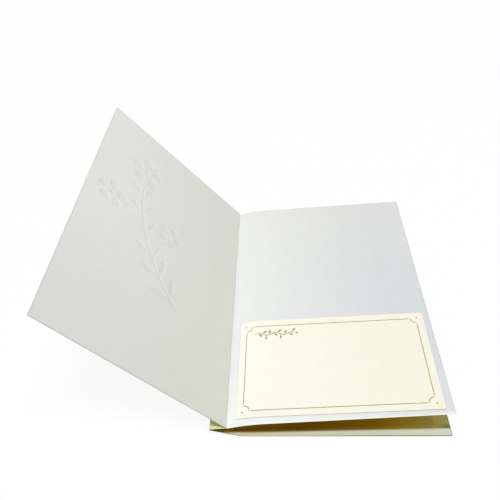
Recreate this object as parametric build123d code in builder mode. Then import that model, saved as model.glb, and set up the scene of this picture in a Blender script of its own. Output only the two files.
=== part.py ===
from build123d import *
from math import cos, radians, sin, tan
import os

# A folded greeting card that stands open on its back panel. X runs from the spine to the free
# edges, Y runs up the page along the folds, and Z is up. The origin is the centre of the flat
# underside of the back panel. All sizes are in millimetres and degrees.

# Sheets, with their widths measured across the folds
card_height = 178.0
back_panel_width = 129.0
hinge_strip_width = 10.5
front_panel_width = 117.5
cover_thickness = 0.35
leaf_width = 117.0
leaf_glue_margin = 8.0
leaf_thickness = 0.2
leaf_setback = 0.2
message_width = 108.0
message_height = 65.0
message_thickness = 0.4
message_corner_radius = 1.3

# How far the sheets are opened, as slopes from the horizontal
front_angle = 131.3
strip_angle = 19.7
bow_angle = 10.0
leaf_rise = 5.4

# Bends: the two pressed folds, the bow beside the spine, and the leaf's curve beside the hinge
crease_radius = 0.15
bow_start = 16.6
bow_radius = 60.0
leaf_bend_radius = 80.0

# Where the message card is glued: from the hinge fold, from the page's lower edge, and its turn
message_from_hinge = 4.9
message_from_edge = 3.7
message_turn = -0.6

# The stamped frame on the message card: four lines, with a quarter arc and a dot at each corner
frame_inset_left = 3.6
frame_inset_right = 4.3
frame_inset_top = 4.4
frame_inset_bottom = 4.0
frame_line_width = 0.5
frame_corner_radius = 3.3
frame_line_gap = 1.0
frame_dot_radius = 0.45
frame_dot_offset = 0.45
stamp_depth = 0.06

# The blind-embossed sprig on the front panel, recessed inside and raised outside
emboss_height = 0.3
emboss_wall = 0.15
emboss_taper = 45.0
sprig_from_centre = (-5.0, 0.0)
stem_width = 1.4
stem_length = 84.0
stem_bend = 9.0
stem_angle = 117.0
leaf_motif_pairs = 6
leaf_motif_start_share = 0.07
leaf_motif_end_share = 0.9
leaf_motif_length = 13.0
leaf_motif_breadth = 4.4
leaf_motif_spread = 44.0
leaf_motif_taper = 0.4
motif_gap = 1.1
petal_count = 5
petal_start_share = 0.32
petal_breadth_share = 0.62
eye_share = 0.16
sepal_start_share = 0.66
sepal_breadth_share = 0.14

# Blossoms: place along the stem, side of the stem, twig length and blossom radius
blossoms = [
    (1.0, 0, 0.0, 12.0),
    (0.62, 1, 15.0, 10.0),
    (0.38, -1, 17.0, 8.5),
]
twig_spread = 52.0
twig_bare_share = 0.1


def along(angle, distance):
    """Step of a given length in the XZ profile, at a slope from the X axis."""
    return Vector(cos(radians(angle)), sin(radians(angle))) * distance


# The profile, as the line of the cover's inner face from the free edge of the back panel
bow_length = bow_radius * radians(bow_angle)
flat_length = back_panel_width - bow_start - bow_length
bow_tangent = (bow_radius - cover_thickness) * tan(radians(bow_angle) / 2)
back_edge = Vector(flat_length / 2, cover_thickness)
bow_corner = Vector(-flat_length / 2 - bow_tangent, cover_thickness)
spine = bow_corner + along(180 - bow_angle, bow_start + bow_tangent)
hinge = spine + along(strip_angle, hinge_strip_width)
front_edge = hinge + along(front_angle, front_panel_width)

# The leaf's upper face: flat under the hinge strip, then bent down to its own rise
leaf_turn = strip_angle - leaf_rise
leaf_bend_length = leaf_bend_radius * radians(leaf_turn)
leaf_tangent = leaf_bend_radius * tan(radians(leaf_turn) / 2)
leaf_root = hinge - along(strip_angle, leaf_glue_margin)
leaf_corner = hinge + along(strip_angle, leaf_tangent)
leaf_edge = leaf_corner + along(leaf_rise, leaf_tangent + leaf_width - leaf_bend_length)

# Plane of the leaf's flat part, with its origin where the bend ends at the page's lower edge
leaf_flat_start = leaf_corner + along(leaf_rise, leaf_tangent)
leaf_plane = Plane(
    origin=(leaf_flat_start.X, -card_height / 2, leaf_flat_start.Y),
    x_dir=(cos(radians(leaf_rise)), 0, sin(radians(leaf_rise))),
    z_dir=(-sin(radians(leaf_rise)), 0, cos(radians(leaf_rise))),
)

# Plane of the front panel's inner face, from the panel's centre, with x towards the hinge
panel_centre = (hinge + front_edge) * 0.5
panel_plane = Plane(
    origin=(panel_centre.X, 0, panel_centre.Y),
    x_dir=(-cos(radians(front_angle)), 0, -sin(radians(front_angle))),
    z_dir=(sin(radians(front_angle)), 0, -cos(radians(front_angle))),
)

# Plane of the message card, from its centre, on the leaf's upper face
message_plane = Plane(
    leaf_plane.location
    * Location(
        (
            message_from_hinge + message_width / 2 - leaf_bend_length,
            message_from_edge + message_height / 2,
            0,
        ),
        message_turn,
    )
)


def leaf_band(low, high):
    """Section of a sheet that follows the leaf, between two heights above its upper face."""
    corner_normal = leaf_rise + leaf_turn / 2 + 90
    corner_share = 1 / cos(radians(leaf_turn) / 2)
    with BuildSketch(Plane.XZ) as band:
        with BuildLine():
            lower, upper = [
                FilletPolyline(
                    leaf_root + along(strip_angle + 90, height),
                    leaf_corner + along(corner_normal, height * corner_share),
                    leaf_edge + along(leaf_rise + 90, height),
                    radius=leaf_bend_radius + height,
                )
                for height in (low, high)
            ]
            Line(lower @ 0, upper @ 0)
            Line(lower @ 1, upper @ 1)
        make_face()
    return band.sketch


def almond(length, breadth):
    """Pointed leaf outline from the origin along x."""
    with BuildSketch() as shape:
        with BuildLine():
            SagittaArc((0, 0), (length, 0), breadth / 2)
            SagittaArc((length, 0), (0, 0), breadth / 2)
        make_face()
    return shape.sketch


def blossom(radius, grow):
    """Ring of round petals about an eye, with a slim sepal between each two petals."""
    tip_radius = radius * petal_breadth_share / 2
    start = (radius * petal_start_share - grow, 0)
    shoulders = [(radius - tip_radius, side * (tip_radius + grow)) for side in (1, -1)]
    with BuildSketch() as petal:
        with BuildLine():
            Line(start, shoulders[0])
            RadiusArc(shoulders[0], shoulders[1], tip_radius + grow)
            Line(shoulders[1], start)
        make_face()
    with BuildSketch() as flower:
        Circle(radius * eye_share + grow)
        with PolarLocations(0, petal_count):
            add(petal.sketch)
        with PolarLocations(radius * sepal_start_share - grow, petal_count, start_angle=180 / petal_count):
            add(almond(radius * (1 - sepal_start_share) + 2 * grow, radius * sepal_breadth_share + 2 * grow))
    return flower.sketch


def sprig(grow):
    """Leafy stem with blossoms at its tip and on two side twigs, each outline widened by grow."""
    stem_tip = along(stem_angle, stem_length / 2)
    leaf_motif_step = (leaf_motif_end_share - leaf_motif_start_share) / (leaf_motif_pairs - 1)
    with BuildSketch() as drawing:
        with BuildLine():
            stem = SagittaArc(-stem_tip, stem_tip, stem_bend)
        for share, side, twig_length, radius in blossoms:
            # The twig leaves the stem at a slant and ends at the blossom's outer edge
            heading = stem.tangent_angle_at(share) + side * twig_spread
            centre = stem @ share + along(heading, twig_length + radius + motif_gap)
            with Locations(Location((centre.X, centre.Y, 0), heading)):
                add(blossom(radius, grow))
            if twig_length:
                with BuildLine():
                    Line(stem @ share, stem @ share + along(heading, twig_length))
        trace(line_width=stem_width + 2 * grow)
        for pair in range(leaf_motif_pairs):
            share = leaf_motif_start_share + pair * leaf_motif_step
            scale = 1 - leaf_motif_taper * share
            for side in (-1, 1):
                # No leaf grows where a twig does
                if any(side == twig_side and abs(share - twig_share) < twig_bare_share
                       for twig_share, twig_side, twig_length, radius in blossoms):
                    continue
                angle = stem.tangent_angle_at(share) + side * leaf_motif_spread
                root = stem @ share + along(angle, motif_gap + stem_width - grow)
                with Locations(Location((root.X, root.Y, 0), angle)):
                    add(almond(leaf_motif_length * scale + 2 * grow, leaf_motif_breadth * scale + 2 * grow))
    return drawing.sketch


# The back panel, the hinge strip and the front panel are one folded sheet
with BuildPart() as cover:
    with BuildSketch(Plane.XZ):
        with BuildLine():
            inner_face = FilletPolyline(
                front_edge,
                hinge,
                spine,
                bow_corner,
                back_edge,
                radius=[crease_radius + cover_thickness, crease_radius, bow_radius - cover_thickness],
            )
            offset(inner_face, amount=cover_thickness, side=Side.RIGHT)
        make_face()
    extrude(amount=card_height / 2, both=True)

    # The relief goes through the sheet: pads on the outer face, pockets in the inner one
    with BuildSketch(panel_plane.offset(-cover_thickness)):
        with Locations(sprig_from_centre):
            add(sprig(emboss_wall))
    extrude(amount=-emboss_height, taper=emboss_taper)
    with BuildSketch(panel_plane):
        with Locations(sprig_from_centre):
            add(sprig(0))
    extrude(amount=-emboss_height, taper=emboss_taper, mode=Mode.SUBTRACT)

# The leaf starts under the hinge strip, against its inner face
with BuildPart() as insert_leaf:
    extrude(leaf_band(-leaf_thickness, 0), amount=card_height / 2 - leaf_setback, both=True)

# The stamped lines, as the solid that presses them into the message card
with BuildPart() as stamp:
    frame_width = message_width - frame_inset_left - frame_inset_right
    frame_height = message_height - frame_inset_bottom - frame_inset_top
    frame_centre = ((frame_inset_left - frame_inset_right) / 2, (frame_inset_bottom - frame_inset_top) / 2)
    frame_plane = Plane(message_plane.location * Location((*frame_centre, 0)))
    line_end = frame_corner_radius + frame_line_gap
    with BuildSketch(frame_plane):
        with BuildLine():
            for side in (-1, 1):
                Line((line_end - frame_width / 2, side * frame_height / 2),
                     (frame_width / 2 - line_end, side * frame_height / 2))
                Line((side * frame_width / 2, line_end - frame_height / 2),
                     (side * frame_width / 2, frame_height / 2 - line_end))
            for quarter, (x, y) in enumerate([(-1, -1), (1, -1), (1, 1), (-1, 1)]):
                corner = (x * frame_width / 2, y * frame_height / 2)
                CenterArc(corner, frame_corner_radius, quarter * 90, 90)
        trace(line_width=frame_line_width)
        with GridLocations(frame_width + 2 * frame_dot_offset, frame_height + 2 * frame_dot_offset, 2, 2):
            Circle(frame_dot_radius)
    extrude(amount=message_width, both=True)
    extrude(
        leaf_band(message_thickness - stamp_depth, message_thickness + stamp_depth),
        amount=card_height / 2,
        both=True,
        mode=Mode.INTERSECT,
    )

# The message card lies on the leaf and follows its curve
with BuildPart() as message_card:
    extrude(leaf_band(0, message_thickness), amount=card_height / 2, both=True)
    with BuildSketch(message_plane):
        RectangleRounded(message_width, message_height, message_corner_radius)
    extrude(amount=message_width, both=True, mode=Mode.INTERSECT)
    add(stamp.part, mode=Mode.SUBTRACT)

os.makedirs("parts", exist_ok=True)
cover.part.label = "cover"
export_step(cover.part, "parts/cover.step")
insert_leaf.part.label = "insert_leaf"
export_step(insert_leaf.part, "parts/insert_leaf.step")
message_card.part.label = "message_card"
export_step(message_card.part, "parts/message_card.step")
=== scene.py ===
from math import asin, atan2, ceil, copysign, cos, pi, radians, sin, sqrt, tan

import bmesh
import bpy
import numpy as np
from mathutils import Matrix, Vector


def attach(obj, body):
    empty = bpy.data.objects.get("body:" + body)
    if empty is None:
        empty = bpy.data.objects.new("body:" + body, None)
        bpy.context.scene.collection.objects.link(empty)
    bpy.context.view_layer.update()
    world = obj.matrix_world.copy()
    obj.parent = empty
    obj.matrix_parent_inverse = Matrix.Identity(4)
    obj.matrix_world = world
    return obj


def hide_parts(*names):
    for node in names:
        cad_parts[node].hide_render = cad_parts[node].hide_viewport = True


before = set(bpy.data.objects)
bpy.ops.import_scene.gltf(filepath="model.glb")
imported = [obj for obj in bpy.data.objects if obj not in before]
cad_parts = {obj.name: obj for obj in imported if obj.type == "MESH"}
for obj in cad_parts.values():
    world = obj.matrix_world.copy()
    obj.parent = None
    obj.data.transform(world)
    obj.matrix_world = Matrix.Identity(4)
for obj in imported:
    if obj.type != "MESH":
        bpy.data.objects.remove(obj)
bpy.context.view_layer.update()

MM = 0.001

# The sheets, as the solids have them
CARD_HEIGHT = 178 * MM
BACK_PANEL_WIDTH = 129 * MM
HINGE_STRIP_WIDTH = 10.5 * MM
FRONT_PANEL_WIDTH = 117.5 * MM
COVER_THICKNESS = 0.35 * MM
LEAF_WIDTH = 117 * MM
LEAF_GLUE_MARGIN = 8 * MM
LEAF_THICKNESS = 0.2 * MM
LEAF_SETBACK = 0.2 * MM
MESSAGE_WIDTH = 108 * MM
MESSAGE_HEIGHT = 65 * MM
MESSAGE_THICKNESS = 0.4 * MM

# How far they are opened, as slopes from the horizontal
FRONT_ANGLE = radians(131.3)
STRIP_ANGLE = radians(19.7)
BOW_ANGLE = radians(10.0)
LEAF_RISE = radians(5.4)

# Folds and bends: their radii, the length of panel before the bow, and how finely they are divided
CREASE_RADIUS = 0.15 * MM
BOW_START = 16.6 * MM
BOW_RADIUS = 60 * MM
LEAF_BEND_RADIUS = 80 * MM
CREASE_STEP = radians(12.0)
BOW_STEP = radians(1.0)

# The back panel's bend as it is seen: steeper than the solids' bow, with the spine higher
SPINE_SHIFT = np.array([0.25, 2.45]) * MM
BEND_ANGLE = radians(20.5)
BEND_RADIUS = 20 * MM
GLUE_BEND_RADIUS = 1 * MM

# Where the message card lies on the leaf
MESSAGE_FROM_HINGE = 4.9 * MM
MESSAGE_FROM_EDGE = 3.7 * MM
MESSAGE_TURN = radians(-0.6)

# The stamped frame on the message card: its insets from the left and lower, then the other edges
FRAME_INSETS_LOW = np.array([3.6, 4.0]) * MM
FRAME_INSETS_HIGH = np.array([4.3, 4.4]) * MM
FRAME_CORNER_RADIUS = 3.3 * MM
FRAME_LINE_GAP = 1.0 * MM
FRAME_DOT_RADIUS = 0.45 * MM
FRAME_DOT_OFFSET = 0.45 * MM
FRAME_ARC_POINTS = 16

# The embossed sprig on the front panel
EMBOSS_HEIGHT = 0.3 * MM
EMBOSS_WALL = 0.15 * MM
SPRIG_FROM_CENTRE = np.array([-5.0, 0.0]) * MM
STEM_WIDTH = 1.4 * MM
STEM_LENGTH = 84 * MM
STEM_BEND = 9 * MM
STEM_ANGLE = radians(117)
LEAF_PAIRS = 6
LEAF_START_SHARE = 0.07
LEAF_END_SHARE = 0.9
LEAF_LENGTH = 13 * MM
LEAF_BREADTH = 4.4 * MM
LEAF_SPREAD = radians(44)
LEAF_TAPER = 0.4
MOTIF_GAP = 1.1 * MM
PETAL_COUNT = 5
PETAL_START_SHARE = 0.32
PETAL_BREADTH_SHARE = 0.62
EYE_SHARE = 0.16
SEPAL_START_SHARE = 0.66
SEPAL_BREADTH_SHARE = 0.14
# Place along the stem, side of the stem, twig length and radius of each blossom
BLOSSOMS = [(1.0, 0, 0.0, 12 * MM), (0.62, 1, 15 * MM, 10 * MM), (0.38, -1, 17 * MM, 8.5 * MM)]
TWIG_SPREAD = radians(52)
TWIG_BARE_SHARE = 0.1

# How finely the relief is divided, and how far its soft shoulders reach past and into the outline
RELIEF_STEP = 0.4 * MM
RELIEF_BORDER = 1 * MM
SHOULDER_OUT = 0.25 * MM
SHOULDER_IN = 0.75 * MM
SMOOTH_ANGLE = radians(40)

# Foil: its thickness, how far it stays below the card's face, and the width of the frame's lines
FOIL_THICKNESS = 0.02 * MM
FOIL_RECESS = 0.02 * MM
FOIL_LINE_WIDTH = 0.36 * MM

# The foil flourish: its place on the message card, a stem that thins at both ends, leaves and a bud
FLOURISH_CENTRE = np.array([-33.5, 22.0]) * MM
FLOURISH_LENGTH = 24 * MM
FLOURISH_WAVES = 2.5
FLOURISH_SWING = 0.9 * MM
FLOURISH_STEM_WIDTH = 0.5 * MM
FLOURISH_STEM_TAPER = 0.5
FLOURISH_STEM_POINTS = 90
FLOURISH_LEAVES = 10
FLOURISH_FIRST_LEAF = 0.8
FLOURISH_LEAF_LENGTH = 3.2 * MM
FLOURISH_LEAF_BREADTH = 1.1 * MM
FLOURISH_LEAF_SPREAD = radians(58)
FLOURISH_LEAF_GAP = 0.5 * MM
FLOURISH_LEAF_TIP_SHARE = 0.08
FLOURISH_LEAF_POINTS = 12
FLOURISH_BUD_OFFSET = 0.9 * MM
FLOURISH_BUD_RADIUS = 0.6 * MM

# Tones of the front panel's inside, by its free edge and by the fold, far and near, and where the
# near ones begin, as a share of half the page's height. Their shifts are painted reflection and
# light falloff: darker and yellower by the fold, darker and greyer towards the near edge
PEARL_NEAR_START = 0.1
PEARL_FAR = (0.80, 0.81, 0.77)
PEARL_NEAR = (0.735, 0.738, 0.73)
PEARL_FOLD_FAR = (0.722, 0.74, 0.664)
PEARL_FOLD_NEAR = (0.715, 0.735, 0.645)
# Painted shade in the pressed hollows
PRESSED_SHADE_TINT = (0.955, 0.96, 0.955)

# The relief on the outside: a painted highlight on its raised part and painted shade at its foot,
# at shares of the full press
RAISED_HIGHLIGHT_TINT = (1.11, 1.11, 1.13)
RAISED_START = 0.5
FOOT_SHADE = 0.84
FOOT_END = 0.2

# Tones of the hinge strip, the outside, and the back panel's inside: painted shadow under the leaf,
# with a margin of painted light
# The hinge strip in painted shade olive, with painted light paler along its near and far edges
STRIP_SHADE_OLIVE = (0.84, 0.84, 0.365)
STRIP_LIT_PALE = (0.765, 0.745, 0.64)
STRIP_LIT_MARGIN = 1.2 * MM
KHAKI = (0.63, 0.615, 0.425)
KHAKI_PALE = (0.66, 0.645, 0.47)
# Painted shade olive on the outside by the fold, matching the hinge strip's
OUTSIDE_SHADE_OLIVE_BY_FOLD = (0.70, 0.69, 0.38)
FOLD_FADE = 30 * MM
DRIFT_SIZE = 90 * MM
# Painted light: the pale margin where light reaches under the leaf's near and far edges, by the
# spine and by the free edge
LIT_MARGIN_BY_SPINE = (0.605, 0.585, 0.39)
LIT_MARGIN_BY_EDGE = (0.63, 0.65, 0.51)
# Painted shadow under the leaf, gold-brown to olive, at places along the back panel, given as
# shares of its free edge's distance from the origin
PAINTED_SHADOW_STEPS = (
    (-1.41, (0.20, 0.155, 0.008)),
    (-1.34, (0.50, 0.31, 0.004)),
    (-1.1, (0.47, 0.235, 0.001)),
    (-0.6, (0.39, 0.197, 0.001)),
    (0.2, (0.54, 0.28, 0.002)),
    (0.56, (0.70, 0.45, 0.033)),
    (0.84, (0.68, 0.555, 0.13)),
    (0.88, (0.47, 0.39, 0.10)),
    (0.95, (0.29, 0.255, 0.075)),
)
# Where the margin of painted light starts, opens out and widens, its blend, and the painted shade
# that deepens next to it
MARGIN_FROM_SPINE = 5.4 * MM
MARGIN_OPENING = 10.5 * MM
MARGIN_WIDTH_BY_BEND = 2.8 * MM
MARGIN_WIDTH_BY_EDGE = 5.2 * MM
MARGIN_BLEND = 1.6 * MM
MARGIN_SHADE = 0.3
MARGIN_SHADE_WIDTH = 4.8 * MM
BACK_INSIDE_SPECULAR = 0.1

# Tones of the leaf, the message card and its foil, and of the cut edges. The leaf's tones are
# painted light, brighter by the fold and along its near edge, darker and cooler towards its free
# edge; they change between shares of half the page's height, and up to a share of its free edge's
# place
LEAF_NEAR_START = 0.9
LEAF_NEAR_END = -0.1
LEAF_EDGE_END = 0.5
LEAF_FOLD_FAR = (0.835, 0.845, 0.82)
LEAF_FOLD_NEAR = (0.835, 0.845, 0.83)
LEAF_EDGE_FAR = (0.73, 0.74, 0.73)
LEAF_EDGE_NEAR = (0.69, 0.715, 0.725)
# Painted light on the leaf's front strip below the message card, by the fold and by the free edge
LEAF_FRONT_LIGHT = 1.10
LEAF_FRONT_LIGHT_BY_EDGE = 1.06
# Painted light along the leaf's near edge, by the fold and by the free edge
LEAF_LIT_RIM_BY_FOLD = (0.985, 0.975, 0.935)
LEAF_LIT_RIM_BY_EDGE = (0.91, 0.895, 0.84)
LEAF_NEAR_RIM_WIDTH = 1.8 * MM
LEAF_RIM_SHADE = 0.92
CREAM_LEFT = (0.965, 0.945, 0.825)
CREAM_RIGHT = (0.94, 0.895, 0.76)
# The message card's cut edge: its own dark olive, with painted shadow along it
CREAM_CUT_AND_SHADOW = (0.33, 0.31, 0.20)
# Tones along the cut edges of the front and the back panel, the back one dark with painted shadow
# where it meets the floor, at shares as the painted shadow steps have them
FRONT_CUT_STEPS = ((0, (0.58, 0.57, 0.50)),)
BACK_CUT_SHADOW_STEPS = (
    (-1.3, (0.05, 0.045, 0.02)),
    (-1.15, (0.25, 0.25, 0.21)),
    (-0.9, (0.25, 0.25, 0.21)),
    (-0.5, (0.12, 0.12, 0.10)),
    (0.2, (0.05, 0.05, 0.04)),
)
CUT_ROUGHNESS = 0.8
CUT_SPECULAR = 0.2
CUT_LAYER_SIZE = 0.12 * MM
CUT_LAYER_SHADE = 0.85
FOIL_DARK = (0.19, 0.175, 0.02)
FOIL_LIGHT = (0.40, 0.37, 0.05)
FOIL_ROUGHNESS = 0.42
FOIL_METALLIC = 0.6
FOIL_WEAR_SIZE = 1.2 * MM
FOIL_WEAR_RANGE = (0.35, 0.65)
FOIL_GRAIN_SIZE = 0.2 * MM
FOIL_GRAIN_STRENGTH = 0.3
FOIL_GRAIN_DEPTH = 0.01 * MM

# How far the message card's normals point up: at most this on a cut edge, at least this on a face
CUT_NORMAL = 0.3
FACE_NORMAL = 0.6

# Paper: its roughness, the size and depth of its blotches and fibres, and its fine grain
PEARL_ROUGHNESS = 0.5
OUTSIDE_ROUGHNESS = 0.45
LEAF_ROUGHNESS = 0.55
NOISE_RANGE = (0.3, 0.7)
MOTTLE_SIZES = (6 * MM, 0.5 * MM)
MOTTLE_DEPTH = 0.02
GLOSS_SIZE = 2 * MM
GLOSS_SPREAD = 0.05
GRAIN_SIZE = 0.35 * MM
GRAIN_STRETCH = (1, 0.35, 1)
GRAIN_STRENGTH = 0.25
GRAIN_DEPTH = 0.02 * MM

# Width and shade of the faint darker lines along the sheets' free edges, and of the painted shade
# in the fold. The back panel's painted shadow line comes in between two shares, which are as the
# painted shadow steps have them
RIM_WIDTH = 1.1 * MM
RIM_SHADE = 0.91
FOLD_LINE_WIDTH = 2 * MM
FOLD_LINE_SHADE = 0.85
BACK_RIM_WIDTH = 0.6 * MM
BACK_RIM_SHADE = 0.3
BACK_RIM_START = -0.6
BACK_RIM_END = 0.2

# Camera: place, aim and lens that give the photograph's view of the open card
CAMERA_PLACE = Vector((-47.76, -239.70, 267.65)) * MM
CAMERA_PITCH = radians(41.71)
CAMERA_HEADING = radians(0.62)
CAMERA_ROLL = radians(-0.91)
FOCAL_PIXELS = 551.9
IMAGE_PIXELS = 500
IMAGE_CENTRE = (277.4, 247.4)
SENSOR = 36.0
CLIP_START = 0.01
CLIP_END = 50

# Stage: a white floor that keeps a faint shadow, one long key lamp and a pale surround
FLOOR_SIZE = 12.0
FLOOR_COLOUR = (0.8, 0.8, 0.8, 1)
SHADOW_SHARE = 0.09
KEY_SIZE = (1.7, 0.26)
KEY_DISTANCE = 4.0
KEY_DIRECTION = (0.12, -0.245, 1.0)
KEY_POWER = 120
WORLD_STRENGTH = 0.3


# Profile of the folded sheet

def heading_vector(angle):
    """Unit step at a slope from the first axis."""
    return np.array([cos(angle), sin(angle)])


def right_normal(angle):
    """Unit normal on the right of that step."""
    return np.array([sin(angle), -cos(angle)])


def rounded_line(corners, radii, steps):
    """Points of a line with rounded corners, with the right normal and the corner of each."""
    runs = np.diff(corners, axis=0)
    headings = [atan2(run[1], run[0]) for run in runs]
    points, normals, turns = [corners[0]], [right_normal(headings[0])], [0]
    bends = zip(corners[1:-1], radii, steps, headings, headings[1:])
    for number, (corner, radius, step, before, after) in enumerate(bends, start=1):
        turn = (after - before + pi) % (2 * pi) - pi
        side = copysign(1, turn)
        start = corner - heading_vector(before) * radius * tan(abs(turn) / 2)
        centre = start - side * radius * right_normal(before)
        for angle in np.linspace(before, before + turn, ceil(abs(turn) / step) + 1):
            points.append(centre + side * radius * right_normal(angle))
            normals.append(right_normal(angle))
            turns.append(number)
    points.append(corners[-1])
    normals.append(right_normal(headings[-1]))
    turns.append(len(radii) + 1)
    return np.array(points), np.array(normals), turns


flat_length = BACK_PANEL_WIDTH - BOW_START - BOW_RADIUS * BOW_ANGLE
bow_tangent = (BOW_RADIUS - COVER_THICKNESS) * tan(BOW_ANGLE / 2)
back_edge = np.array([flat_length / 2, COVER_THICKNESS])
plain_corner = np.array([-flat_length / 2 - bow_tangent, COVER_THICKNESS])
plain_spine = plain_corner + heading_vector(pi - BOW_ANGLE) * (BOW_START + bow_tangent)
hinge = plain_spine + heading_vector(STRIP_ANGLE) * HINGE_STRIP_WIDTH
front_edge = hinge + heading_vector(FRONT_ANGLE) * FRONT_PANEL_WIDTH

# The bend as it is seen, between the solids' flat part and their hinge
spine = plain_spine + SPINE_SHIFT
bow_corner = np.array([spine[0] + (spine[1] - COVER_THICKNESS) / tan(BEND_ANGLE), COVER_THICKNESS])
strip_heading = (hinge - spine) / np.linalg.norm(hinge - spine)

# The leaf's flat part starts where its bend ends
leaf_turn = STRIP_ANGLE - LEAF_RISE
leaf_tangent = LEAF_BEND_RADIUS * tan(leaf_turn / 2)
leaf_bend_length = LEAF_BEND_RADIUS * leaf_turn
leaf_corner = hinge + heading_vector(STRIP_ANGLE) * leaf_tangent
leaf_flat_start = leaf_corner + heading_vector(LEAF_RISE) * leaf_tangent
leaf_root = hinge - strip_heading * LEAF_GLUE_MARGIN
leaf_edge = leaf_flat_start + heading_vector(LEAF_RISE) * (LEAF_WIDTH - leaf_bend_length)


# The sprig, as distances from its outline, negative inside

def turned(points, origin, angle):
    """Points as seen from an origin, along a heading."""
    offset = points - origin
    ahead = offset @ heading_vector(angle)
    left = offset @ -right_normal(angle)
    return np.stack([ahead, left], axis=-1)


def disc(points, centre, radius):
    """Distance from a disc."""
    return np.linalg.norm(points - centre, axis=-1) - radius


def almond(points, length, breadth):
    """Distance from a pointed leaf that starts at the origin and runs ahead."""
    sagitta = breadth / 2
    radius = (length**2 / 4 + sagitta**2) / (2 * sagitta)
    offset = radius - sagitta
    sides = [disc(points, np.array([length / 2, side * offset]), radius) for side in (-1, 1)]
    return np.maximum(*sides)


def petal(points, start, radius, tip_radius):
    """Distance from a petal: a wedge from its start that ends in a round tip."""
    shoulder = radius - tip_radius
    slope = atan2(tip_radius, shoulder - start)
    ahead, aside = points[..., 0], np.abs(points[..., 1])
    wedge = np.maximum(aside * cos(slope) - (ahead - start) * sin(slope), ahead - shoulder)
    return np.minimum(wedge, disc(points, np.array([shoulder, 0]), tip_radius))


def blossom(points, radius):
    """Distance from a ring of petals and sepals about an eye."""
    found = disc(points, np.zeros(2), radius * EYE_SHARE)
    for k in range(PETAL_COUNT):
        angle = 2 * pi * k / PETAL_COUNT
        seen = turned(points, np.zeros(2), angle)
        tip_radius = radius * PETAL_BREADTH_SHARE / 2
        found = np.minimum(found, petal(seen, radius * PETAL_START_SHARE, radius, tip_radius))
        between = angle + pi / PETAL_COUNT
        seen = turned(points, heading_vector(between) * radius * SEPAL_START_SHARE, between)
        sepal = almond(seen, radius * (1 - SEPAL_START_SHARE), radius * SEPAL_BREADTH_SHARE)
        found = np.minimum(found, sepal)
    return found


def twig(points, start, end):
    """Distance from a straight twig."""
    run = end - start
    share = np.clip(((points - start) @ run) / (run @ run), 0, 1)
    return np.linalg.norm(points - start - share[..., None] * run, axis=-1) - STEM_WIDTH / 2


def sprig(points):
    """Distance from the whole sprig."""
    stem_radius = (STEM_LENGTH**2 / 4 + STEM_BEND**2) / (2 * STEM_BEND)
    half_turn = asin(STEM_LENGTH / 2 / stem_radius)
    stem_start = -heading_vector(STEM_ANGLE) * STEM_LENGTH / 2
    centre = stem_start + right_normal(STEM_ANGLE + half_turn) * stem_radius

    def heading_at(share):
        return STEM_ANGLE + (1 - 2 * share) * half_turn

    def place_at(share):
        return centre - right_normal(heading_at(share)) * stem_radius

    # The stem is a ring's band between its two ends
    from_ends = np.abs(points @ heading_vector(STEM_ANGLE)) - STEM_LENGTH / 2
    band = np.abs(disc(points, centre, stem_radius)) - STEM_WIDTH / 2
    found = np.maximum(band, from_ends)
    for share, side, twig_length, radius in BLOSSOMS:
        heading = heading_at(share) + side * TWIG_SPREAD
        place = place_at(share)
        eye = place + heading_vector(heading) * (twig_length + radius + MOTIF_GAP)
        found = np.minimum(found, blossom(turned(points, eye, heading), radius))
        if twig_length:
            end = place + heading_vector(heading) * twig_length
            found = np.minimum(found, twig(points, place, end))
    for share in np.linspace(LEAF_START_SHARE, LEAF_END_SHARE, LEAF_PAIRS):
        scale = 1 - LEAF_TAPER * share
        for side in (-1, 1):
            # No leaf grows where a twig does
            if any(side == b[1] and abs(share - b[0]) < TWIG_BARE_SHARE for b in BLOSSOMS):
                continue
            heading = heading_at(share) + side * LEAF_SPREAD
            root = place_at(share) + heading_vector(heading) * (MOTIF_GAP + STEM_WIDTH)
            seen = turned(points, root, heading)
            found = np.minimum(found, almond(seen, LEAF_LENGTH * scale, LEAF_BREADTH * scale))
    return found


def pressed_share(points, grow):
    """How fully the press moves the sheet, with soft shoulders, for an outline widened by grow."""
    depth = SHOULDER_OUT + grow - sprig(points - SPRIG_FROM_CENTRE)
    share = np.clip(depth / (SHOULDER_OUT + SHOULDER_IN), 0, 1)
    return share * share * (3 - 2 * share)


# Meshes

# Places of the cover's looks in its list of materials
PEARL_SIDE, STRIP_SIDE, PAINTED_BACK_SIDE, OUTSIDE, FRONT_CUT, BACK_CUT = range(6)


def new_piece(name, bm):
    """Mesh object from a finished bmesh, smooth apart from its sharp edges."""
    bmesh.ops.recalc_face_normals(bm, faces=bm.faces)
    mesh = bpy.data.meshes.new(name)
    bm.to_mesh(mesh)
    bm.free()
    mesh.shade_smooth()
    mesh.set_sharp_from_angle(angle=SMOOTH_ANGLE)
    piece = bpy.data.objects.new(name, mesh)
    bpy.context.scene.collection.objects.link(piece)
    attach(piece, "root")
    return piece


def relief_bounds():
    """Lowest and highest corner of the pressed area on the front panel, from its centre."""
    reach = np.array([FRONT_PANEL_WIDTH, CARD_HEIGHT]) / 2
    axes = [np.arange(-r, r, MM) for r in reach]
    points = np.stack(np.meshgrid(*axes, indexing="ij"), axis=-1)
    reached = SHOULDER_OUT + EMBOSS_WALL + RELIEF_BORDER
    pressed = points[sprig(points - SPRIG_FROM_CENTRE) < reached]
    return pressed.min(axis=0), pressed.max(axis=0)


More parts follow.
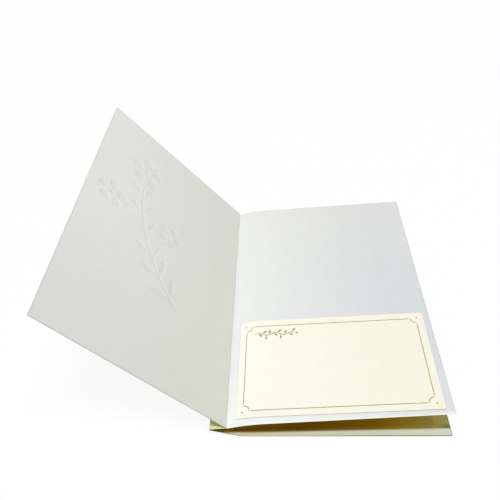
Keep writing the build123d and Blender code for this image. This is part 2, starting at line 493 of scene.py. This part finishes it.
def pressed_face(bm, corners, place, grow, side):
    """Flat face between four corners, with a finely divided middle that takes the relief."""
    low, high = relief_bounds()
    axes = [np.linspace(a, b, ceil((b - a) / RELIEF_STEP) + 1) for a, b in zip(low, high)]
    points = np.stack(np.meshgrid(*axes, indexing="ij"), axis=-1)
    shares = pressed_share(points, grow)
    layer = bm.verts.layers.float["pressed"]
    grid = []
    for row, row_shares in zip(points, shares):
        grid.append([])
        for point, share in zip(row, row_shares):
            vert = bm.verts.new(place(*point, EMBOSS_HEIGHT * share))
            vert[layer] = share
            grid[-1].append(vert)
    faces = []
    for one, other in zip(grid, grid[1:]):
        for k in range(len(one) - 1):
            faces.append(bm.faces.new((one[k], one[k + 1], other[k + 1], other[k])))
    rims = [
        [row[0] for row in grid],
        grid[-1],
        [row[-1] for row in reversed(grid)],
        grid[0][::-1],
    ]
    for k, rim in enumerate(rims):
        faces.append(bm.faces.new((corners[k], corners[(k + 1) % 4], *reversed(rim))))
    for face in faces:
        face.material_index = side


def sheet_rows(bm, line, half, thickness, cuts):
    """Rows of vertices along both faces of a folded sheet, and the cut faces that join them."""
    points, normals, _ = line
    rows = [
        [[bm.verts.new((x, y, z)) for y in (-half, half)] for x, z in face]
        for face in (points, points + normals * thickness)
    ]
    upper, lower = rows
    for k, cut in enumerate(cuts):
        for side in (0, 1):
            corners = (upper[k][side], upper[k + 1][side], lower[k + 1][side], lower[k][side])
            bm.faces.new(corners).material_index = cut
    for k in (0, -1):
        bm.faces.new((upper[k][0], upper[k][1], lower[k][1], lower[k][0])).material_index = cuts[k]
    return rows


def span_face(bm, row, k, material_index=0):
    """Face of a folded sheet between two rows of its vertices."""
    one, other = row[k], row[k + 1]
    bm.faces.new((one[0], one[1], other[1], other[0])).material_index = material_index


def make_leaf():
    """The leaf: glued under the hinge strip by its margin, then rising over the back panel."""
    line = rounded_line(
        [leaf_root, hinge, leaf_corner, leaf_edge],
        [GLUE_BEND_RADIUS, LEAF_BEND_RADIUS],
        [BOW_STEP, BOW_STEP],
    )
    bm = bmesh.new()
    half = CARD_HEIGHT / 2 - LEAF_SETBACK
    spans = range(len(line[0]) - 1)
    for row in sheet_rows(bm, line, half, LEAF_THICKNESS, [0] * len(spans)):
        for k in spans:
            span_face(bm, row, k)
    return new_piece("glued_leaf", bm)


def make_cover():
    """The folded cover, with round folds and a soft relief pressed through its front panel."""
    line = rounded_line(
        [front_edge, hinge, spine, bow_corner, back_edge],
        [CREASE_RADIUS + COVER_THICKNESS, CREASE_RADIUS, BEND_RADIUS - COVER_THICKNESS],
        [CREASE_STEP, CREASE_STEP, BOW_STEP],
    )
    _, normals, turns = line
    bm = bmesh.new()
    bm.verts.layers.float.new("pressed")
    cuts = [BACK_CUT if turn > 0 else FRONT_CUT for turn in turns[:-1]]
    near, far = sheet_rows(bm, line, CARD_HEIGHT / 2, COVER_THICKNESS, cuts)
    for k in range(1, len(cuts)):
        panel = turns[k + 1] - 1
        span_face(bm, near, k, (PEARL_SIDE, STRIP_SIDE, PAINTED_BACK_SIDE, PAINTED_BACK_SIDE)[panel])
        span_face(bm, far, k, (OUTSIDE, STRIP_SIDE, OUTSIDE, OUTSIDE)[panel])

    # The front panel's two faces, seen from its centre with x towards the hinge
    centre = (front_edge + hinge) / 2
    ahead = -heading_vector(FRONT_ANGLE)
    faces = ((near, 0, 0, PEARL_SIDE), (far, COVER_THICKNESS, EMBOSS_WALL, OUTSIDE))
    for row, lift, grow, side in faces:

        def place(x, y, out, lift=lift):
            point = centre + ahead * x + normals[0] * (lift + out)
            return (point[0], y, point[1])

        corners = (row[0][0], row[1][0], row[1][1], row[0][1])
        pressed_face(bm, corners, place, grow, side)
    return new_piece("folded_cover", bm)


def on_leaf(x, y, height):
    """Place above the leaf, with x from the end of its bend and y from the page's lower edge."""
    rise = height
    if x < 0:
        rise = sqrt((LEAF_BEND_RADIUS + height) ** 2 - x**2) - LEAF_BEND_RADIUS
    point = leaf_flat_start + heading_vector(LEAF_RISE) * x - right_normal(LEAF_RISE) * rise
    return Vector((point[0], y - CARD_HEIGHT / 2, point[1]))


def on_message(x, y, height):
    """Place on the message card, from its centre, height above the leaf."""
    turned_x = x * cos(MESSAGE_TURN) - y * sin(MESSAGE_TURN)
    turned_y = x * sin(MESSAGE_TURN) + y * cos(MESSAGE_TURN)
    return on_leaf(
        MESSAGE_FROM_HINGE + MESSAGE_WIDTH / 2 - leaf_bend_length + turned_x,
        MESSAGE_FROM_EDGE + MESSAGE_HEIGHT / 2 + turned_y,
        height,
    )


def foil_band(bm, left, right, top):
    """Thin closed strip of foil between two lines of points on the message card."""
    rows = []
    for (lx, ly), (rx, ry) in zip(left, right):
        rows.append([
            bm.verts.new(on_message(x, y, height))
            for x, y in ((lx, ly), (rx, ry))
            for height in (top, top - FOIL_THICKNESS)
        ])
    for one, other in zip(rows, rows[1:]):
        for a, b in ((0, 2), (2, 3), (3, 1), (1, 0)):
            bm.faces.new((one[a], one[b], other[b], other[a]))
    for row in (rows[0], rows[-1]):
        bm.faces.new((row[0], row[2], row[3], row[1]))


def foil_line(bm, points, widths, top):
    """Strip of foil along a line of points, as wide at each as given."""
    points = np.array(points)
    steps = np.gradient(points, axis=0)
    across = np.stack([-steps[:, 1], steps[:, 0]], axis=1)
    across /= np.linalg.norm(across, axis=1)[:, None]
    offsets = across * np.array(widths)[:, None] / 2
    foil_band(bm, points + offsets, points - offsets, top)


def foil_dot(bm, centre, radius, top, sides=20):
    """Round dot of foil."""
    angles = np.linspace(0, 2 * pi, sides, endpoint=False)
    places = [centre + radius * heading_vector(angle) for angle in angles]
    rings = [
        [bm.verts.new(on_message(*place, height)) for place in places]
        for height in (top, top - FOIL_THICKNESS)
    ]
    bm.faces.new(rings[0])
    bm.faces.new(rings[1][::-1])
    for k in range(sides):
        n = (k + 1) % sides
        bm.faces.new((rings[0][k], rings[0][n], rings[1][n], rings[1][k]))


def make_foil_frame():
    """Gold foil in the stamped grooves: four lines, a quarter arc and a dot at each corner."""
    top = MESSAGE_THICKNESS - FOIL_RECESS
    centre = (FRAME_INSETS_LOW - FRAME_INSETS_HIGH) / 2
    half = (np.array([MESSAGE_WIDTH, MESSAGE_HEIGHT]) - FRAME_INSETS_LOW - FRAME_INSETS_HIGH) / 2
    reach = half - FRAME_CORNER_RADIUS - FRAME_LINE_GAP
    bm = bmesh.new()
    for side in (-1, 1):
        for axis in (0, 1):
            run = np.linspace(-reach[axis], reach[axis], ceil(2 * reach[axis] / MM))
            points = np.empty((len(run), 2))
            points[:, axis] = run
            points[:, 1 - axis] = side * half[1 - axis]
            foil_line(bm, centre + points, np.full(len(run), FOIL_LINE_WIDTH), top)
    for x in (-1, 1):
        for y in (-1, 1):
            corner = centre + half * (x, y)
            inward = atan2(-y, -x)
            angles = np.linspace(inward - pi / 4, inward + pi / 4, FRAME_ARC_POINTS)
            points = [corner + FRAME_CORNER_RADIUS * heading_vector(angle) for angle in angles]
            foil_line(bm, points, np.full(len(angles), FOIL_LINE_WIDTH), top)
            foil_dot(bm, corner + FRAME_DOT_OFFSET * np.array([x, y]), FRAME_DOT_RADIUS, top)
    return new_piece("foil_frame", bm)


def make_flourish():
    """Small gold flourish: a waving stem with leaves on both sides and a bud at its end."""
    top = MESSAGE_THICKNESS + FOIL_THICKNESS / 2
    bm = bmesh.new()

    def stem_point(share):
        ahead = FLOURISH_LENGTH * (share - 0.5)
        return FLOURISH_CENTRE + (ahead, FLOURISH_SWING * sin(2 * pi * FLOURISH_WAVES * share))

    def stem_heading(share, nudge=0.001):
        step = stem_point(share + nudge) - stem_point(share - nudge)
        return atan2(step[1], step[0])

    shares = np.linspace(0, 1, FLOURISH_STEM_POINTS)
    widths = FLOURISH_STEM_WIDTH * (1 - FLOURISH_STEM_TAPER * np.abs(2 * shares - 1) ** 3)
    foil_line(bm, [stem_point(share) for share in shares], widths, top)
    shares = np.linspace(0, 1, FLOURISH_LEAF_POINTS)
    widths = FLOURISH_LEAF_BREADTH * np.maximum(np.sin(pi * shares), FLOURISH_LEAF_TIP_SHARE)
    for k in range(FLOURISH_LEAVES):
        place = (k + FLOURISH_FIRST_LEAF) / (FLOURISH_LEAVES + FLOURISH_FIRST_LEAF)
        side = 1 if k % 2 else -1
        ahead = heading_vector(stem_heading(place) + side * FLOURISH_LEAF_SPREAD)
        root = stem_point(place) + ahead * FLOURISH_LEAF_GAP
        middle = [root + ahead * FLOURISH_LEAF_LENGTH * share for share in shares]
        foil_line(bm, middle, widths, top)
    foil_dot(bm, stem_point(1) + (FLOURISH_BUD_OFFSET, 0), FLOURISH_BUD_RADIUS, top)
    return new_piece("foil_flourish", bm)


# Looks

class Look:
    """Material with one shader, and short names for the nodes that feed it."""

    def __init__(self, name, roughness, specular=0.5):
        self.material = bpy.data.materials.new(name)
        self.material.use_nodes = True
        self.nodes = self.material.node_tree.nodes
        self.shader = self.nodes["Principled BSDF"]
        self.roughness = roughness
        self.shader.inputs["Roughness"].default_value = roughness
        self.shader.inputs["Specular IOR Level"].default_value = specular
        self.place = self.nodes.new("ShaderNodeTexCoord").outputs["Object"]

    def link(self, output, socket):
        """Feed a socket from a node's output."""
        self.material.node_tree.links.new(output, socket)

    def noise(self, size, detail, stretch=(1, 1, 1)):
        """Noise from 0 to 1 whose blotches are about as large as given."""
        mapping = self.nodes.new("ShaderNodeMapping")
        mapping.inputs["Scale"].default_value = stretch
        self.link(self.place, mapping.inputs["Vector"])
        texture = self.nodes.new("ShaderNodeTexNoise")
        texture.inputs["Scale"].default_value = 1 / size
        texture.inputs["Detail"].default_value = detail
        self.link(mapping.outputs["Vector"], texture.inputs["Vector"])
        return texture.outputs["Fac"]

    def remap(self, value, low, high, to_low=0.0, to_high=1.0, smooth=False):
        """Value carried from one range to another and held at its ends."""
        node = self.nodes.new("ShaderNodeMapRange")
        if smooth:
            node.interpolation_type = "SMOOTHSTEP"
        numbers = {"From Min": low, "From Max": high, "To Min": to_low, "To Max": to_high}
        for name, number in numbers.items():
            node.inputs[name].default_value = number
        self.link(value, node.inputs["Value"])
        return node.outputs["Result"]

    def along(self, axis, low, high, vector=None, smooth=False):
        """Share of the way from one coordinate to another."""
        node = self.nodes.new("ShaderNodeSeparateXYZ")
        self.link(vector or self.place, node.inputs["Vector"])
        return self.remap(node.outputs[axis], low, high, smooth=smooth)

    def stepped(self, axis, scale, steps):
        """Colour that runs through given ones at given shares of a scale along an axis."""
        places = [share * scale for share, _ in steps]
        found = steps[0][1]
        for start, end, (_, colour) in zip(places, places[1:], steps[1:]):
            found = self.mix(self.along(axis, start, end), found, colour)
        return found

    def combine(self, operation, one, other):
        """Sum, difference, least or other of two values."""
        node = self.nodes.new("ShaderNodeMath")
        node.operation = operation
        self.link(one, node.inputs[0])
        self.link(other, node.inputs[1])
        return node.outputs["Value"]

    def rim(self, edges, width):
        """0 at some edges and 1 past a width. An edge is an axis, a place and the side inward."""
        shares = [self.along(axis, place, place + side * width) for axis, place, side in edges]
        inside = shares[0]
        for share in shares[1:]:
            inside = self.combine("MINIMUM", inside, share)
        return inside

    def mix(self, share, one, other, blend="MIX"):
        """Colour between two others, each given as a colour or as the output of a node."""
        node = self.nodes.new("ShaderNodeMix")
        node.data_type = "RGBA"
        node.blend_type = blend
        sockets = {s.identifier: s for s in node.inputs}
        for socket, colour in ((sockets["A_Color"], one), (sockets["B_Color"], other)):
            if isinstance(colour, tuple):
                socket.default_value = (*colour, 1)
            else:
                self.link(colour, socket)
        if isinstance(share, float):
            sockets["Factor_Float"].default_value = share
        else:
            self.link(share, sockets["Factor_Float"])
        return next(s for s in node.outputs if s.identifier == "Result_Color")

    def dim(self, colour, shade):
        """Colour multiplied by a value."""
        grey = self.nodes.new("ShaderNodeCombineColor")
        for channel in range(3):
            self.link(shade, grey.inputs[channel])
        return self.mix(1.0, colour, grey.outputs["Color"], "MULTIPLY")

    def bump(self, height, strength, distance):
        """Fine unevenness of the surface."""
        node = self.nodes.new("ShaderNodeBump")
        node.inputs["Strength"].default_value = strength
        node.inputs["Distance"].default_value = distance
        self.link(height, node.inputs["Height"])
        self.link(node.outputs["Normal"], self.shader.inputs["Normal"])

    def paper(self, colour):
        """Fine fibres and faint blotches, as pressed paper has, over a colour."""
        for size in MOTTLE_SIZES:
            blotches = self.noise(size, detail=4)
            mottle = self.remap(blotches, *NOISE_RANGE, 1 - MOTTLE_DEPTH, 1.0)
            colour = self.dim(colour, mottle)
        self.link(colour, self.shader.inputs["Base Color"])
        gloss = self.noise(GLOSS_SIZE, detail=3)
        smoothest, roughest = self.roughness - GLOSS_SPREAD, self.roughness + GLOSS_SPREAD
        roughness = self.remap(gloss, *NOISE_RANGE, smoothest, roughest)
        self.link(roughness, self.shader.inputs["Roughness"])
        grain = self.noise(GRAIN_SIZE, detail=4, stretch=GRAIN_STRETCH)
        self.bump(grain, GRAIN_STRENGTH, GRAIN_DEPTH)
        return self.material


def pearl_look():
    """Inside of the front panel: pale pearl, with painted reflection and light falloff, yellower by
    the fold and greyer at the near corner.
    """
    look = Look("pearl_inside", PEARL_ROUGHNESS)
    half = CARD_HEIGHT / 2
    # The tone shifts by the fold and towards the near edge are painted reflection and light falloff
    to_fold = look.along("X", front_edge[0], hinge[0], smooth=True)
    to_near = look.along("Y", PEARL_NEAR_START * half, -half, smooth=True)
    by_edge = look.mix(to_near, PEARL_FAR, PEARL_NEAR)
    by_fold = look.mix(to_near, PEARL_FOLD_FAR, PEARL_FOLD_NEAR)
    tone = look.mix(to_fold, by_edge, by_fold)
    # Painted shade in the pressed hollows
    pressed = look.nodes.new("ShaderNodeAttribute")
    pressed.attribute_name = "pressed"
    tone = look.mix(pressed.outputs["Fac"], tone, look.mix(1.0, tone, PRESSED_SHADE_TINT, "MULTIPLY"))
    edges = [("X", front_edge[0], -cos(FRONT_ANGLE)), ("Y", half, -1), ("Y", -half, 1)]
    tone = look.dim(tone, look.remap(look.rim(edges, RIM_WIDTH), 0, 1, RIM_SHADE, 1))
    # Painted shade in the crease along the fold
    fold = look.along("X", hinge[0] + cos(FRONT_ANGLE) * FOLD_LINE_WIDTH, hinge[0])
    return look.paper(look.dim(tone, look.remap(fold, 0, 1, 1, FOLD_LINE_SHADE)))


def painted_back_look():
    """Inside of the back panel: painted shadow under the leaf in brown to olive gold, with pale
    margins of painted light that widen outwards.
    """
    look = Look("back_inside_painted_shadow", PEARL_ROUGHNESS, BACK_INSIDE_SPECULAR)
    half = CARD_HEIGHT / 2
    edge = back_edge[0]
    to_edge = look.along("X", bow_corner[0], edge)
    widening = look.remap(to_edge, 0, 1, MARGIN_WIDTH_BY_BEND, MARGIN_WIDTH_BY_EDGE)
    margin_start = spine[0] + MARGIN_FROM_SPINE
    opening = look.along("X", margin_start, margin_start + MARGIN_OPENING)
    from_edge = look.rim([("Y", -half, 1), ("Y", half, -1)], half)
    beyond_edge = look.remap(from_edge, 0, 1, MARGIN_BLEND, half + MARGIN_BLEND)
    margin = look.combine("MULTIPLY", widening, opening)
    past_margin = look.combine("SUBTRACT", beyond_edge, margin)
    # Painted shade, deepest next to the lit margin
    shade = look.remap(past_margin, 0, MARGIN_SHADE_WIDTH, MARGIN_SHADE, 1, smooth=True)
    # The gold-brown is painted shadow under the leaf, in steps along the panel
    gold = look.dim(look.stepped("X", edge, PAINTED_SHADOW_STEPS), shade)
    # The pale margin is painted light where light reaches under the leaf's edge
    pale = look.mix(look.along("X", spine[0], edge), LIT_MARGIN_BY_SPINE, LIT_MARGIN_BY_EDGE)
    tone = look.mix(look.remap(past_margin, 0, MARGIN_BLEND, smooth=True), pale, gold)
    # A painted shadow line along the panel's near, far and free edges, coming in towards the free
    # edge
    edges = [("X", edge, -1), ("Y", -half, 1), ("Y", half, -1)]
    rim = look.remap(look.rim(edges, BACK_RIM_WIDTH), 0, 1, 1, 0)
    coming_in = look.along("X", BACK_RIM_START * edge, BACK_RIM_END * edge)
    rim = look.combine("MULTIPLY", rim, coming_in)
    return look.paper(look.dim(tone, look.remap(rim, 0, 1, 1, BACK_RIM_SHADE)))


def strip_look():
    """The hinge strip: pearl in painted shade olive, with painted light paler along its near and
    far edges.
    """
    look = Look("strip", PEARL_ROUGHNESS)
    half = CARD_HEIGHT / 2
    # Painted light paler along the near and far edges, painted shade olive inward
    inward = look.rim([("Y", -half, 1), ("Y", half, -1)], STRIP_LIT_MARGIN)
    return look.paper(look.mix(inward, STRIP_LIT_PALE, STRIP_SHADE_OLIVE))


def outside_look():
    """Khaki pearl of the cover's outside, painted shade olive by the fold, with a painted highlight
    on the raised relief and painted shade at its foot.
    """
    look = Look("outside", OUTSIDE_ROUGHNESS)
    drift = look.remap(look.noise(DRIFT_SIZE, detail=0), *NOISE_RANGE)
    tone = look.mix(drift, KHAKI, KHAKI_PALE)
    # Painted shade olive by the fold
    by_fold = look.along("X", hinge[0] - FOLD_FADE, hinge[0], smooth=True)
    tone = look.mix(by_fold, tone, OUTSIDE_SHADE_OLIVE_BY_FOLD)
    pressed = look.nodes.new("ShaderNodeAttribute")
    pressed.attribute_name = "pressed"
    # Painted highlight on the raised relief, and painted shade at its foot
    raised = look.remap(pressed.outputs["Fac"], RAISED_START, 1, smooth=True)
    rising = look.remap(pressed.outputs["Fac"], 0, FOOT_END, smooth=True)
    foot = look.combine("SUBTRACT", rising, raised)
    tone = look.mix(raised, tone, look.mix(1.0, tone, RAISED_HIGHLIGHT_TINT, "MULTIPLY"))
    return look.paper(look.dim(tone, look.remap(foot, 0, 1, 1, FOOT_SHADE)))


def cut_look(name, steps):
    """Cut edges of a sheet, rough and layered, with their tones along it."""
    look = Look(name, CUT_ROUGHNESS, CUT_SPECULAR)
    layers = look.noise(CUT_LAYER_SIZE, detail=2)
    layers = look.remap(layers, *NOISE_RANGE, CUT_LAYER_SHADE, 1.0)
    tone = look.stepped("X", back_edge[0], steps)
    look.link(look.dim(tone, layers), look.shader.inputs["Base Color"])
    return look.material


def leaf_look():
    """The leaf in painted light: white by the fold, cooler by its free edge, brighter along its
    near edge.
    """
    look = Look("leaf_paper", LEAF_ROUGHNESS)
    half = CARD_HEIGHT / 2
    edge = leaf_edge[0]
    to_near = look.along("Y", LEAF_NEAR_START * half, LEAF_NEAR_END * half)
    to_edge = look.along("X", hinge[0], LEAF_EDGE_END * edge)
    # Painted light: whiter by the fold, darker and cooler towards the free edge
    by_fold = look.mix(to_near, LEAF_FOLD_FAR, LEAF_FOLD_NEAR)
    by_edge = look.mix(to_near, LEAF_EDGE_FAR, LEAF_EDGE_NEAR)
    tone = look.mix(to_edge, by_fold, by_edge)
    # Painted light brightening the front strip below the message card
    to_front = look.along("Y", -half + MESSAGE_FROM_EDGE + MESSAGE_HEIGHT / 2, -half)
    lifts = (LEAF_FRONT_LIGHT - 1, LEAF_FRONT_LIGHT_BY_EDGE - 1)
    lift = look.remap(look.along("X", 0, edge), 0, 1, *lifts)
    tone = look.dim(tone, look.remap(look.combine("MULTIPLY", to_front, lift), 0, 1, 1, 2))
    inside = look.rim([("X", edge, -1)], RIM_WIDTH)
    tone = look.dim(tone, look.remap(inside, 0, 1, LEAF_RIM_SHADE, 1))
    # Painted light along the leaf's near edge
    lit_near_rim = look.mix(to_edge, LEAF_LIT_RIM_BY_FOLD, LEAF_LIT_RIM_BY_EDGE)
    past_rim = look.rim([("Y", LEAF_SETBACK - half, 1)], LEAF_NEAR_RIM_WIDTH)
    return look.paper(look.mix(past_rim, lit_near_rim, tone))


def message_look():
    """The message card: cream on its face, olive at its cut edge, partly painted shadow."""
    look = Look("message_stock", PEARL_ROUGHNESS)
    to_edge = look.along("X", hinge[0], back_edge[0])
    tone = look.mix(to_edge, CREAM_LEFT, CREAM_RIGHT)
    normal = look.nodes.new("ShaderNodeNewGeometry").outputs["True Normal"]
    facing_up = look.along("Z", CUT_NORMAL, FACE_NORMAL, vector=normal)
    return look.paper(look.mix(facing_up, CREAM_CUT_AND_SHADOW, tone))


def foil_look():
    """Gold foil, dulled by the press."""
    look = Look("gold_foil", FOIL_ROUGHNESS)
    look.shader.inputs["Metallic"].default_value = FOIL_METALLIC
    worn = look.remap(look.noise(FOIL_WEAR_SIZE, detail=3), *FOIL_WEAR_RANGE)
    look.link(look.mix(worn, FOIL_DARK, FOIL_LIGHT), look.shader.inputs["Base Color"])
    grain = look.noise(FOIL_GRAIN_SIZE, detail=2)
    look.bump(grain, FOIL_GRAIN_STRENGTH, FOIL_GRAIN_DEPTH)
    return look.material


# Stage

def add_camera():
    """The photograph's camera."""
    data = bpy.data.cameras.new("camera")
    data.sensor_width = SENSOR
    data.lens = FOCAL_PIXELS / IMAGE_PIXELS * SENSOR
    data.shift_x = 0.5 - IMAGE_CENTRE[0] / IMAGE_PIXELS
    data.shift_y = IMAGE_CENTRE[1] / IMAGE_PIXELS - 0.5
    data.clip_start = CLIP_START
    data.clip_end = CLIP_END
    camera = bpy.data.objects.new("camera", data)
    camera.location = CAMERA_PLACE
    camera.rotation_euler = (pi / 2 - CAMERA_PITCH, CAMERA_ROLL, -CAMERA_HEADING)
    bpy.context.scene.collection.objects.link(camera)
    bpy.context.scene.camera = camera


def sees_backdrop(nodes, links):
    """1 for rays from the camera and from gloss and glass, 0 for soft light."""
    path = nodes.new("ShaderNodeLightPath")
    total = path.outputs["Is Camera Ray"]
    for name in ("Is Glossy Ray", "Is Transmission Ray"):
        either = nodes.new("ShaderNodeMath")
        either.operation = "MAXIMUM"
        links.new(total, either.inputs[0])
        links.new(path.outputs[name], either.inputs[1])
        total = either.outputs[0]
    return total


def add_floor():
    """A pale floor that the camera sees as white, apart from the card's shadow."""
    bpy.ops.mesh.primitive_plane_add(size=FLOOR_SIZE)
    floor = bpy.context.object
    floor.name = "floor"
    material = bpy.data.materials.new("floor")
    material.use_nodes = True
    nodes, links = material.node_tree.nodes, material.node_tree.links
    nodes.clear()
    plain = nodes.new("ShaderNodeBsdfDiffuse")
    plain.inputs["Color"].default_value = FLOOR_COLOUR
    white = nodes.new("ShaderNodeEmission")
    faint = nodes.new("ShaderNodeBsdfDiffuse")
    faint.inputs["Color"].default_value = (1, 1, 1, 1)
    backdrop = nodes.new("ShaderNodeMixShader")
    backdrop.inputs["Fac"].default_value = SHADOW_SHARE
    links.new(white.outputs[0], backdrop.inputs[1])
    links.new(faint.outputs[0], backdrop.inputs[2])
    seen = nodes.new("ShaderNodeMixShader")
    links.new(sees_backdrop(nodes, links), seen.inputs["Fac"])
    links.new(plain.outputs[0], seen.inputs[1])
    links.new(backdrop.outputs[0], seen.inputs[2])
    output = nodes.new("ShaderNodeOutputMaterial")
    links.new(seen.outputs[0], output.inputs["Surface"])
    floor.data.materials.append(material)


def add_lights():
    """One long lamp above the card, leaning towards the viewer, and an even pale surround."""
    data = bpy.data.lights.new("key", "AREA")
    data.shape = "RECTANGLE"
    data.size, data.size_y = KEY_SIZE
    data.energy = KEY_POWER
    key = bpy.data.objects.new("key", data)
    bpy.context.scene.collection.objects.link(key)
    target = Vector((0, -CARD_HEIGHT / 2, 0))
    key.location = target + Vector(KEY_DIRECTION).normalized() * KEY_DISTANCE
    key.rotation_euler = (target - key.location).to_track_quat("-Z", "Y").to_euler()
    world = bpy.data.worlds.new("surround")
    bpy.context.scene.world = world
    world.use_nodes = True
    nodes, links = world.node_tree.nodes, world.node_tree.links
    strength = nodes.new("ShaderNodeMix")
    strength.inputs["A"].default_value = WORLD_STRENGTH
    strength.inputs["B"].default_value = 1.0
    links.new(sees_backdrop(nodes, links), strength.inputs["Factor"])
    links.new(strength.outputs["Result"], nodes["Background"].inputs["Strength"])
    nodes["Background"].inputs["Color"].default_value = (1, 1, 1, 1)


add_camera()
add_floor()
add_lights()

cover = make_cover()
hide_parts("cover")
for material in (
    pearl_look(),
    strip_look(),
    painted_back_look(),
    outside_look(),
    cut_look("front_cut", FRONT_CUT_STEPS),
    cut_look("back_cut", BACK_CUT_SHADOW_STEPS),
):
    cover.data.materials.append(material)
foil_gold = foil_look()
for piece in (make_foil_frame(), make_flourish()):
    piece.data.materials.append(foil_gold)
leaf = make_leaf()
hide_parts("insert_leaf")
leaf.data.materials.append(leaf_look())
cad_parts["message_card"].data.materials[0] = message_look()

bpy.context.scene.view_settings.view_transform = "Standard"
